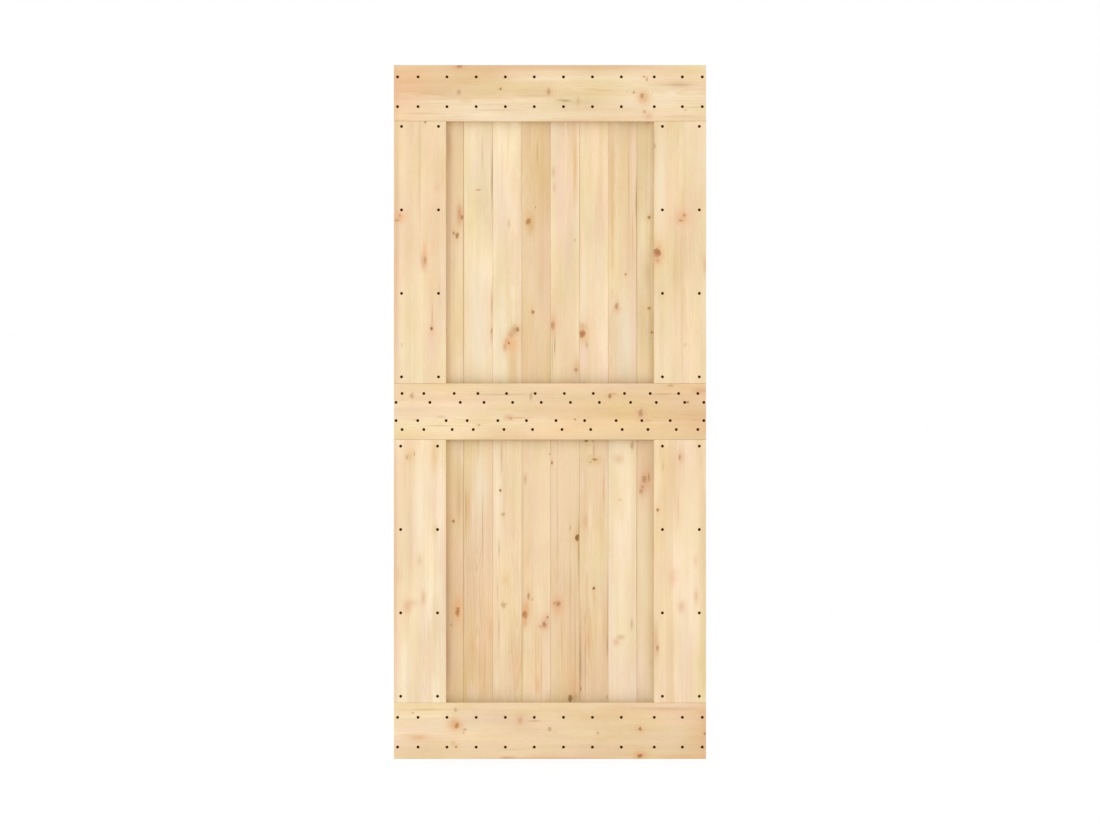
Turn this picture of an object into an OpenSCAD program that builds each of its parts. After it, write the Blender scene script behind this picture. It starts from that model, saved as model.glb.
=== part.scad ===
// Leaf of a framed and boarded sliding door in pine.
// Three rails and four stiles lie face to face on two tiers of tongued and grooved
// boards, and countersunk screws driven from the front hold them together.
// X runs to the right, Y from the front to the back and Z up. The origin is the
// middle of the top edge, halfway through the thickness of the leaf.

/* [Leaf] */
// Width of the leaf
leaf_w = 945; // [780:1:1125]
// Height of the leaf
leaf_h = 2100; // [1740:5:2500]

/* [Frame] */
// Thickness of the rails and stiles
frame_t = 22; // [18:0.5:28]
// Height of the top and bottom rails
end_rail_h = 170; // [140:1:205]
// Height of the middle rail
middle_rail_h = 170; // [140:1:205]
// Depth of the middle rail's centre line below the top edge
middle_rail_drop = 1048.5; // [870:0.5:1250]
// Width of each stile
stile_w = 158; // [130:1:190]
// Chamfer along the long front edges of the rails and stiles
frame_ease = 1; // [0.4:0.1:3]
// Open joint between the end of a stile and a rail
frame_joint = 0.3; // [0.1:0.05:1]

/* [Boards] */
// Thickness of the boards
board_t = 13; // [10.5:0.5:18]
// Width that a whole board covers, from seam to seam
board_cover = 87.5; // [72:0.5:140]
// Width of the ripped board at the left edge
first_board_w = 36.5; // [30:0.5:80]
// Least width of the ripped board at the right edge
last_board_least_w = 20; // [16:0.5:30]
// Open seam between two boards
board_seam = 0.25; // [0.2:0.05:1]
// Chamfer along the long edges of a board
board_ease = 0.5; // [0.3:0.1:1.5]
// Length of a tongue
tongue_l = 5; // [4:0.25:7]
// Thickness of a tongue
tongue_t = 4; // [3:0.25:5]
// Chamfer on the nose of a tongue
tongue_ease = 0.5; // [0.2:0.1:1]
// Clearance on each side of a tongue in its groove
tongue_clear = 0.15; // [0.05:0.05:0.4]
// Clearance between the nose of a tongue and the bottom of its groove
groove_clear = 0.6; // [0.3:0.1:1.5]
// Open joint between the two tiers of boards, behind the middle rail
tier_joint = 0.5; // [0.2:0.1:2]

/* [Screws] */
// Diameter of a screw's head
head_d = 8.8; // [7:0.1:10]
// Diameter of a screw's shank
shank_d = 3.2; // [2.6:0.1:4]
// Depth of a head below the face of the wood
head_sink = 0.3; // [0.1:0.05:1]
// Depth that a screw reaches into a board
screw_bite = 8.5; // [6:0.25:10.2]
// Length of a screw's point
point_l = 4; // [3:0.25:5]
// Diameter of the blunt end of a screw's point
point_d = 0.8; // [0.5:0.1:1.2]
// Width of one slot of the cross recess
slot_w = 1; // [0.7:0.05:1.4]
// Turn of each screw's cross recess from the one before, in degrees
slot_turn = 37; // [0:1:89]
// Diameter of the clearance hole in the frame
bore_d = 4.4; // [4.2:0.1:5.4]
// Clearance between a screw and the wood that it seats in
screw_clear = 0.1; // [0.05:0.01:0.3]
// Clearance between the end of a screw and the bottom of its hole
point_clear = 0.5; // [0.2:0.1:1]

/* [Screw rows] */
// Distance of the outer screw row from the top or bottom edge of the leaf
rail_row_edge = 36; // [25:0.5:45]
// Distance between the two screw rows of the top or bottom rail
rail_row_pitch = 90; // [70:0.5:110]
// Distance of an inner screw row from the middle rail's centre line
inner_row = 27.5; // [20:0.5:35]
// Distance of an outer screw row from the middle rail's centre line
outer_row = 54.5; // [45:0.5:65]
// Distance of the first and last screws of a stile from its ends
stile_row_edge = 19.5; // [12:0.5:40]
// The same distance at the top end of the upper stiles
top_row_edge = 15.5; // [12:0.5:40]
// Rows of screws along a stile
stile_rows = 4; // [2:1:6]

/* [Hidden] */
leaf_t = frame_t + board_t;
front_y = -leaf_t / 2;
board_y = front_y + frame_t;
head_h = (head_d - shank_d) / 2;
screw_l = frame_t - head_sink + screw_bite;
recess_d_share = 0.5;
recess_h_share = 0.6;
overrun = 1;
round_fn = 48;

// Seams: board i lies between seam(i) and seam(i + 1).
board_count = floor((leaf_w - first_board_w - last_board_least_w) / board_cover) + 2;
last_board = board_count - 1;

// Places of the screws across the whole boards, as shares of the board's width,
// from the left. The patterns start again where a wider leaf has more boards.
end_rail_shares = [0.42, 0.42, 0.43, 0.44, 0.44, 0.45, 0.45, 0.45, 0.59, 0.56];
middle_upper_shares = [0.62, 0.67, 0.49, 0.48, 0.47, 0.48, 0.48, 0.56, 0.45, 0.43];
middle_lower_shares = [0.41, 0.39, 0.12, 0.18, 0.17, 0.19, 0.18, 0.27, 0.16, 0.14];
// Step from one screw of a pair to the other on the middle rail
pair_step_share = 0.21;
// The same places on the ripped boards, at the left and at the right edge
end_rail_ripped_shares = [0.31, 0.65];
outer_row_ripped_shares = [0.68, 0.25];
inner_row_ripped_shares = [0.18, 0.79];
// Places of the two screw columns of a stile, as shares of its width from the
// outer edge of the leaf
upper_left_column_shares = [0.147, 0.856];
lower_left_column_shares = [0.131, 0.837];
right_column_shares = [0.131, 0.837];

pine = [0.93, 0.82, 0.64];
pale_pine = [0.95, 0.86, 0.7];
dark_bronze = [0.22, 0.15, 0.08];

function two_digits(i) = str(i < 9 ? "0" : "", i + 1);
function board_names(tier) = [for (i = [0 : last_board]) str(tier, "_board_", two_digits(i))];

UPPER_BOARDS = board_names("upper");
LOWER_BOARDS = board_names("lower");

// Heights of the rails' and stiles' edges, from the top edge of the leaf down
top_rail_z = [-end_rail_h, 0];
middle_rail_z = [-middle_rail_drop - middle_rail_h / 2, -middle_rail_drop + middle_rail_h / 2];
bottom_rail_z = [-leaf_h, -leaf_h + end_rail_h];
upper_stile_z = [middle_rail_z[1] + frame_joint, top_rail_z[0] - frame_joint];
lower_stile_z = [bottom_rail_z[1] + frame_joint, middle_rail_z[0] - frame_joint];
upper_board_z = [-middle_rail_drop + tier_joint / 2, 0];
lower_board_z = [-leaf_h, -middle_rail_drop - tier_joint / 2];

function seam(i) = -leaf_w / 2
    + (i <= 0 ? 0 : i >= board_count ? leaf_w : first_board_w + (i - 1) * board_cover);

// Place at a share of the width of board i
function board_x(i, share) = seam(i) + share * (seam(i + 1) - seam(i));

// Share for board i: the whole boards take theirs from one table, and the two
// ripped boards from another
function board_share(i, whole_shares, ripped_shares, step_share = 0) =
    i == 0 ? ripped_shares[0]
    : i == last_board ? ripped_shares[1]
    : whole_shares[(i - 1) % len(whole_shares)] + step_share;

// Row of one screw a board at height z
function row(z, whole_shares, ripped_shares, step_share = 0) = [
    for (i = [0 : last_board])
        [board_x(i, board_share(i, whole_shares, ripped_shares, step_share)), z]
];

// Screws of one end rail, in two rows counted from the edge of the leaf at z inwards
function end_rail_screws(z, inwards) = [
    for (d = [rail_row_edge, rail_row_edge + rail_row_pitch])
        each row(z + inwards * d, end_rail_shares, end_rail_ripped_shares)
];

// Screws of the middle rail: two rows for the boards above and two for those below
function middle_rail_screws() = concat(
    row(-middle_rail_drop + outer_row, middle_upper_shares, outer_row_ripped_shares),
    row(-middle_rail_drop + inner_row, middle_upper_shares, inner_row_ripped_shares,
        pair_step_share),
    row(-middle_rail_drop - inner_row, middle_lower_shares, inner_row_ripped_shares),
    row(-middle_rail_drop - outer_row, middle_lower_shares, outer_row_ripped_shares,
        pair_step_share)
);

// Screws of one stile, the last row last_edge below its top end: side is -1 at the
// left edge of the leaf and 1 at the right
function stile_screws(side, span, column_shares, last_edge = stile_row_edge) = [
    for (k = [0 : stile_rows - 1], share = column_shares)
        [
            side * (leaf_w / 2 - share * stile_w),
            span[0] + stile_row_edge
                + k * (span[1] - span[0] - stile_row_edge - last_edge) / (stile_rows - 1)
        ]
];

top_screws = end_rail_screws(0, -1);
middle_screws = middle_rail_screws();
bottom_screws = end_rail_screws(-leaf_h, 1);
upper_left_screws = stile_screws(-1, upper_stile_z, upper_left_column_shares, top_row_edge);
upper_right_screws = stile_screws(1, upper_stile_z, right_column_shares, top_row_edge);
lower_left_screws = stile_screws(-1, lower_stile_z, lower_left_column_shares);
lower_right_screws = stile_screws(1, lower_stile_z, right_column_shares);
all_screws = concat(top_screws, middle_screws, bottom_screws, upper_left_screws,
    upper_right_screws, lower_left_screws, lower_right_screws);

// Outline of a rail or stile across its grain: width, then depth from the front
// face, with both long front edges chamfered
function eased_outline(w) = [
    [-w / 2, frame_t],
    [-w / 2, frame_ease],
    [-w / 2 + frame_ease, 0],
    [w / 2 - frame_ease, 0],
    [w / 2, frame_ease],
    [w / 2, frame_t]
];

// Outline of a board across its grain, from its left seam, with depth from its
// front face. A ripped edge is plain and lies in the edge of the leaf.
function board_outline(i) =
    let (
        grooved = i > 0,
        tongued = i < last_board,
        left = grooved ? board_seam / 2 : 0,
        right = seam(i + 1) - seam(i) - (tongued ? board_seam / 2 : 0),
        middle = board_t / 2,
        tongue = tongue_t / 2,
        nose = right + tongue_l,
        groove = tongue + tongue_clear,
        bottom = left + tongue_l - board_seam + groove_clear
    )
    concat(
        [[left, board_ease], [left + board_ease, 0]],
        [[right - board_ease, 0], [right, board_ease]],
        tongued ? [
            [right, middle - tongue],
            [nose - tongue_ease, middle - tongue],
            [nose, middle - tongue + tongue_ease],
            [nose, middle + tongue - tongue_ease],
            [nose - tongue_ease, middle + tongue],
            [right, middle + tongue]
        ] : [],
        [[right, board_t - board_ease], [right - board_ease, board_t]],
        [[left + board_ease, board_t], [left, board_t - board_ease]],
        grooved ? [
            [left, middle + groove],
            [bottom, middle + groove],
            [bottom, middle - groove],
            [left, middle - groove]
        ] : []
    );

// Turns its children so that their Z axis points into the leaf at each place, and
// about that axis by turn more than at the place before
module at_screws(places, turn = 0) {
    for (k = [0 : 1 : len(places) - 1])
        translate([places[k][0], front_y, places[k][1]])
            rotate([-90, 0, 0])
                rotate([0, 0, k * turn])
                    children();
}

// Countersunk clearance hole through a rail or stile
module frame_hole() {
    mouth_r = head_d / 2 + head_sink + screw_clear + overrun;
    translate([0, 0, -overrun]) {
        cylinder(h = mouth_r - bore_d / 2, r1 = mouth_r, r2 = bore_d / 2, $fn = round_fn);
        cylinder(h = frame_t + 2 * overrun, d = bore_d, $fn = round_fn);
    }
}

// Blind pilot hole in a board, as seen from the front face of the frame
module pilot_hole() {
    depth = frame_t + screw_bite + point_clear;
    cylinder(h = depth, d = shank_d + 2 * screw_clear, $fn = round_fn);
}

// Countersunk screw with a cross recess, its head facing the front
module screw() {
    recess_h = head_h * recess_h_share;
    recess_d = head_d * recess_d_share;
    translate([0, 0, head_sink])
        difference() {
            rotate_extrude($fn = round_fn)
                polygon([
                    [0, 0],
                    [head_d / 2, 0],
                    [shank_d / 2, head_h],
                    [shank_d / 2, screw_l - point_l],
                    [point_d / 2, screw_l],
                    [0, screw_l]
                ]);
            for (turn = [0, 90])
                rotate([0, 0, turn])
                    translate([-recess_d / 2, -slot_w / 2, -overrun])
                        cube([recess_d, slot_w, recess_h + overrun]);
        }
}

module screws(places) {
    color(dark_bronze) at_screws(places, slot_turn) screw();
}

// Rail across the whole width of the leaf, between the heights in span
module rail(span, places) {
    height = span[1] - span[0];
    color(pine) difference() {
        translate([-leaf_w / 2, front_y, (span[0] + span[1]) / 2])
            rotate([90, 0, 90])
                linear_extrude(height = leaf_w)
                    polygon([for (p = eased_outline(height)) [p[1], p[0]]]);
        at_screws(places) frame_hole();
    }
}

// Stile between two rails: side is -1 at the left edge of the leaf and 1 at the right
module stile(side, span, places) {
    color(pine) difference() {
        translate([side * (leaf_w - stile_w) / 2, front_y, span[0]])
            linear_extrude(height = span[1] - span[0])
                polygon(eased_outline(stile_w));
        at_screws(places) frame_hole();
    }
}

// Board i of a tier, between the heights in span, with its pilot holes
module board(i, span) {
    reach = head_d / 2;
    places = [
        for (p = all_screws)
            if (p[0] > seam(i) - reach && p[0] < seam(i + 1) + tongue_l + reach
                && p[1] > span[0] && p[1] < span[1]) p
    ];
    color(pale_pine) difference() {
        translate([seam(i), board_y, span[0]])
            linear_extrude(height = span[1] - span[0])
                polygon(board_outline(i));
        at_screws(places) pilot_hole();
    }
}

rail(top_rail_z, top_screws);  // top_rail
rail(middle_rail_z, middle_screws);  // middle_rail
rail(bottom_rail_z, bottom_screws);  // bottom_rail
stile(-1, upper_stile_z, upper_left_screws);  // upper_left_stile
stile(1, upper_stile_z, upper_right_screws);  // upper_right_stile
stile(-1, lower_stile_z, lower_left_screws);  // lower_left_stile
stile(1, lower_stile_z, lower_right_screws);  // lower_right_stile
for (i = [0 : last_board]) {
    board(i, upper_board_z);
    board(i, lower_board_z);
}
screws(top_screws);  // top_rail_screws
screws(middle_screws);  // middle_rail_screws
screws(bottom_screws);  // bottom_rail_screws
screws(upper_left_screws);  // upper_left_stile_screws
screws(upper_right_screws);  // upper_right_stile_screws
screws(lower_left_screws);  // lower_left_stile_screws
screws(lower_right_screws);  // lower_right_stile_screws
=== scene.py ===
"""Looks of a framed and boarded sliding door leaf in unfinished pine.

The leaf hangs just clear of a white floor, in front of a white ground. Every wooden
piece is cut from its own procedural log: rings about a wandering pith, fibres, tone
that drifts along and across the board, and knots that the rings flow round.
"""
import math
import random
from collections import namedtuple

import bpy
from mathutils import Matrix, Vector


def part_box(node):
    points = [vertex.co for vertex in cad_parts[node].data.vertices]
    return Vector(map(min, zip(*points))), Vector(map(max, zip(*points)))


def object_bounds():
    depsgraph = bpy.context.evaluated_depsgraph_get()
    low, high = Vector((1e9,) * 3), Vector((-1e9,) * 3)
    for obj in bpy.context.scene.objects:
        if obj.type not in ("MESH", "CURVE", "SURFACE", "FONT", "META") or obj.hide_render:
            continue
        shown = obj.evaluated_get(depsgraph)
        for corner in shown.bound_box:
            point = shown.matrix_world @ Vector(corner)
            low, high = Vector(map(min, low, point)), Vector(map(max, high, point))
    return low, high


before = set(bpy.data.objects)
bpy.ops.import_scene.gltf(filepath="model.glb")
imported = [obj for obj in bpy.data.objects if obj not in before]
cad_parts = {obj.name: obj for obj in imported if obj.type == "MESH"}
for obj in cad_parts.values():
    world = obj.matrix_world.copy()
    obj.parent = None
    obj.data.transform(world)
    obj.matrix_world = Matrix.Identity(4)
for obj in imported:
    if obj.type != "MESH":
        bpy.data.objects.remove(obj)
cad_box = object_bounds()

# Camera and photograph: lengths in pixels of the photograph, in millimetres for the
# sensor and in metres for the camera's distance
IMAGE_W_PX = 1100
LEAF_W_PX = 312.3
LEAF_MIDDLE_X_PX = 549.8
LEAF_MIDDLE_Y_PX = 411.8
SENSOR_W = 36
CAMERA_DISTANCE = 14.0

leaf_low, leaf_high = cad_box
leaf_w = leaf_high.x - leaf_low.x
leaf_mid_z = (leaf_low.z + leaf_high.z) / 2
pixel = leaf_w / LEAF_W_PX

# Tones of the wood, as written in sRGB from 0 to 255

TONES = {
    "blossom": (253, 231, 195),
    "milk": (250, 231, 198),
    "ivory": (252, 228, 198),
    "peach": (251, 223, 184),
    "wheat": (248, 223, 185),
    "linen": (243, 220, 186),
    "pale": (247, 226, 190),
    "cream": (244, 219, 179),
    "honey": (240, 212, 171),
    "tan": (236, 204, 162),
    "apricot": (238, 200, 152),
    "amber": (230, 196, 151),
    "sand": (224, 185, 139),
    "olive": (232, 206, 157),
    "rose": (240, 208, 172),
    "blush": (226, 178, 140),
    "petal": (244, 212, 190),
    "salmon": (241, 188, 142),
    "orange": (230, 178, 124),
    "gold": (226, 182, 116),
    "copper": (212, 154, 94),
    "russet": (208, 146, 102),
    "sienna": (160, 104, 60),
    "nut": (194, 152, 100),
    "ochre": (196, 146, 84),
    "sepia": (190, 147, 95),
    "fawn": (202, 152, 104),
    "tawny": (170, 120, 78),
    "brown": (172, 132, 82),
    "bark": (164, 122, 72),
    "umber": (122, 88, 46),
    "buff": (206, 172, 122),
    "clay": (204, 158, 112),
    "late": (222, 184, 132),
    "straw": (238, 219, 179),
    "mist": (240, 226, 198),
    "end_grain": (214, 176, 128),
    # Colour of the painted shade on the frame's arrises along the seams
    "dust": (188, 156, 110),
    # Colour of the painted shade in the recesses along the frame
    "painted_shade": (143, 138, 108),
}

# How a kind of knot looks: its heart and rim, the tone round it, how strongly it
# shows and how soft its edge is
KnotKind = namedtuple("KnotKind", "heart rim halo strength halo_strength softness")
KNOT_KINDS = {
    "dark": KnotKind("bark", "umber", "orange", 1.0, 0.4, 0.45),
    "brown": KnotKind("sepia", "bark", "orange", 0.95, 0.4, 0.6),
    "rust": KnotKind("fawn", "tawny", "blush", 0.88, 0.7, 0.9),
    "red": KnotKind("russet", "sienna", "orange", 1.0, 0.8, 0.6),
    "gold": KnotKind("ochre", "bark", "gold", 0.95, 0.7, 0.75),
    "orange": KnotKind("copper", "sienna", "orange", 0.95, 0.8, 0.8),
    "clay": KnotKind("clay", "brown", "blush", 0.8, 0.5, 1.0),
    "pink": KnotKind("blush", "russet", "blush", 0.62, 0.5, 1.5),
    "grey": KnotKind("buff", "brown", "tan", 0.68, 0.35, 1.2),
}

# Knots that the photograph shows, by the pixel of their centre and their half width
# and half height in pixels
Knot = namedtuple("Knot", "x_px y_px half_w_px half_h_px kind")
KNOTS = [
    # Top rail
    Knot(459.2, 66.2, 2.8, 1.8, "rust"),
    Knot(458.7, 92.0, 2.2, 3.0, "grey"),
    Knot(500.4, 88.7, 1.0, 1.4, "brown"),
    Knot(548.4, 91.7, 1.8, 2.8, "clay"),
    Knot(643.8, 76.4, 0.9, 0.8, "brown"),
    Knot(646.8, 79.2, 1.1, 1.9, "grey"),
    Knot(633.7, 92.1, 1.3, 1.8, "grey"),
    Knot(641.8, 95.4, 1.6, 2.8, "clay"),
    Knot(644.2, 111.3, 1.4, 1.8, "grey"),
    Knot(685.2, 109.7, 0.9, 0.9, "grey"),
    # Middle rail
    Knot(412.0, 395.8, 2.4, 3.0, "grey"),
    Knot(530.8, 395.8, 1.4, 4.4, "grey"),
    Knot(510.8, 418.2, 1.3, 1.0, "clay"),
    Knot(478.8, 424.8, 1.2, 1.2, "grey"),
    Knot(609.8, 395.6, 1.5, 2.5, "brown"),
    Knot(640.6, 412.6, 2.2, 3.8, "clay"),
    Knot(574.8, 419.2, 0.9, 0.9, "brown"),
    Knot(670.4, 385.2, 3.0, 1.3, "grey"),
    Knot(687.4, 402.0, 1.6, 1.2, "brown"),
    # Bottom rail
    Knot(412.7, 712.6, 0.9, 0.9, "grey"),
    Knot(455.2, 709.8, 1.6, 1.8, "grey"),
    Knot(456.8, 725.2, 2.0, 2.4, "orange"),
    Knot(464.8, 729.2, 1.9, 1.1, "grey"),
    Knot(455.9, 746.5, 0.9, 1.3, "brown"),
    Knot(520.2, 719.9, 2.0, 4.0, "pink"),
    Knot(549.4, 729.0, 1.8, 2.4, "grey"),
    Knot(463.5, 732.7, 0.8, 0.8, "grey"),
    Knot(597.8, 732.7, 1.0, 1.5, "grey"),
    Knot(639.8, 728.6, 1.7, 2.2, "brown"),
    Knot(639.8, 755.6, 2.3, 2.2, "red"),
    Knot(704.6, 733.4, 0.9, 1.4, "brown"),
    # Upper left stile
    Knot(425.1, 121.6, 1.0, 1.5, "brown"),
    Knot(399.6, 215.3, 0.9, 1.4, "clay"),
    Knot(396.8, 220.2, 2.6, 1.0, "clay"),
    Knot(424.9, 259.8, 1.4, 3.4, "clay"),
    Knot(431.5, 328.2, 1.2, 1.7, "dark"),
    # Upper right stile
    Knot(684.2, 215.0, 1.6, 1.6, "clay"),
    Knot(680.5, 220.2, 2.4, 1.2, "clay"),
    Knot(657.2, 252.4, 3.4, 4.2, "red"),
    Knot(656.8, 260.2, 2.4, 1.6, "pink"),
    Knot(654.4, 145.8, 1.2, 2.8, "grey"),
    # Lower left stile
    Knot(406.9, 456.8, 1.0, 2.3, "grey"),
    Knot(414.2, 453.6, 0.8, 1.8, "grey"),
    # Lower right stile
    Knot(679.6, 457.0, 1.1, 2.4, "clay"),
    Knot(657.6, 509.8, 1.4, 1.6, "brown"),
    Knot(657.4, 648.0, 1.2, 2.8, "clay"),
    # Upper boards
    Knot(462.0, 217.2, 1.5, 2.3, "brown"),
    Knot(453.4, 232.8, 0.9, 1.6, "brown"),
    Knot(456.8, 235.0, 1.8, 3.0, "brown"),
    Knot(478.6, 189.4, 2.8, 1.0, "grey"),
    Knot(491.5, 330.5, 0.8, 2.4, "clay"),
    Knot(517.4, 329.2, 1.8, 2.0, "brown"),
    Knot(506.6, 340.2, 1.6, 1.9, "pink"),
    Knot(508.6, 343.0, 1.1, 1.3, "red"),
    Knot(505.2, 346.0, 0.9, 1.5, "pink"),
    Knot(528.4, 220.9, 2.3, 3.2, "gold"),
    Knot(535.2, 207.0, 0.9, 1.3, "grey"),
    Knot(532.8, 311.6, 1.4, 2.1, "brown"),
    Knot(552.6, 325.0, 2.0, 3.6, "clay"),
    Knot(574.6, 240.0, 0.8, 1.2, "grey"),
    Knot(576.0, 369.4, 1.7, 2.0, "clay"),
    Knot(582.2, 333.6, 3.0, 3.8, "red"),
    Knot(625.4, 274.0, 1.0, 1.2, "brown"),
    Knot(616.6, 305.6, 1.6, 2.6, "clay"),
    Knot(649.0, 217.2, 1.7, 1.5, "brown"),
    Knot(649.0, 308.0, 1.6, 1.4, "brown"),
    Knot(651.8, 332.0, 1.3, 1.4, "brown"),
    # Lower boards
    Knot(453.0, 520.9, 1.5, 1.8, "brown"),
    Knot(457.4, 611.4, 2.5, 4.2, "orange"),
    Knot(451.0, 624.8, 1.1, 1.7, "grey"),
    Knot(500.2, 490.1, 1.0, 1.3, "dark"),
    Knot(503.2, 514.2, 2.3, 1.7, "grey"),
    Knot(503.2, 604.4, 2.5, 2.9, "grey"),
    Knot(528.4, 595.6, 1.2, 3.0, "clay"),
    Knot(532.0, 599.2, 0.9, 1.4, "grey"),
    Knot(524.2, 614.2, 2.6, 3.8, "orange"),
    Knot(547.3, 616.9, 1.0, 1.6, "brown"),
    Knot(544.2, 624.2, 1.9, 2.9, "rust"),
    Knot(551.9, 462.4, 1.0, 1.7, "brown"),
    Knot(549.3, 453.9, 0.8, 1.0, "grey"),
    Knot(570.1, 528.0, 0.8, 2.6, "grey"),
    Knot(577.0, 537.4, 2.2, 3.1, "dark"),
    Knot(558.0, 603.8, 2.4, 2.6, "rust"),
    Knot(554.0, 603.0, 0.9, 1.2, "clay"),
    Knot(570.2, 698.2, 2.2, 3.4, "dark"),
    Knot(586.0, 440.7, 1.8, 1.0, "dark"),
    Knot(592.4, 440.8, 1.2, 0.9, "grey"),
    Knot(594.8, 459.2, 2.3, 1.1, "brown"),
    Knot(590.2, 462.0, 1.2, 0.9, "grey"),
    Knot(580.4, 688.6, 0.9, 1.8, "brown"),
    Knot(593.7, 587.9, 1.3, 1.4, "dark"),
    Knot(606.8, 697.0, 0.9, 2.4, "grey"),
    Knot(632.0, 445.0, 1.6, 3.4, "grey"),
    Knot(644.2, 479.0, 2.4, 3.2, "rust"),
    Knot(648.6, 477.0, 1.0, 3.6, "clay"),
    Knot(642.4, 486.8, 1.4, 1.6, "rust"),
    Knot(641.0, 490.8, 1.6, 2.0, "clay"),
]

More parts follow.
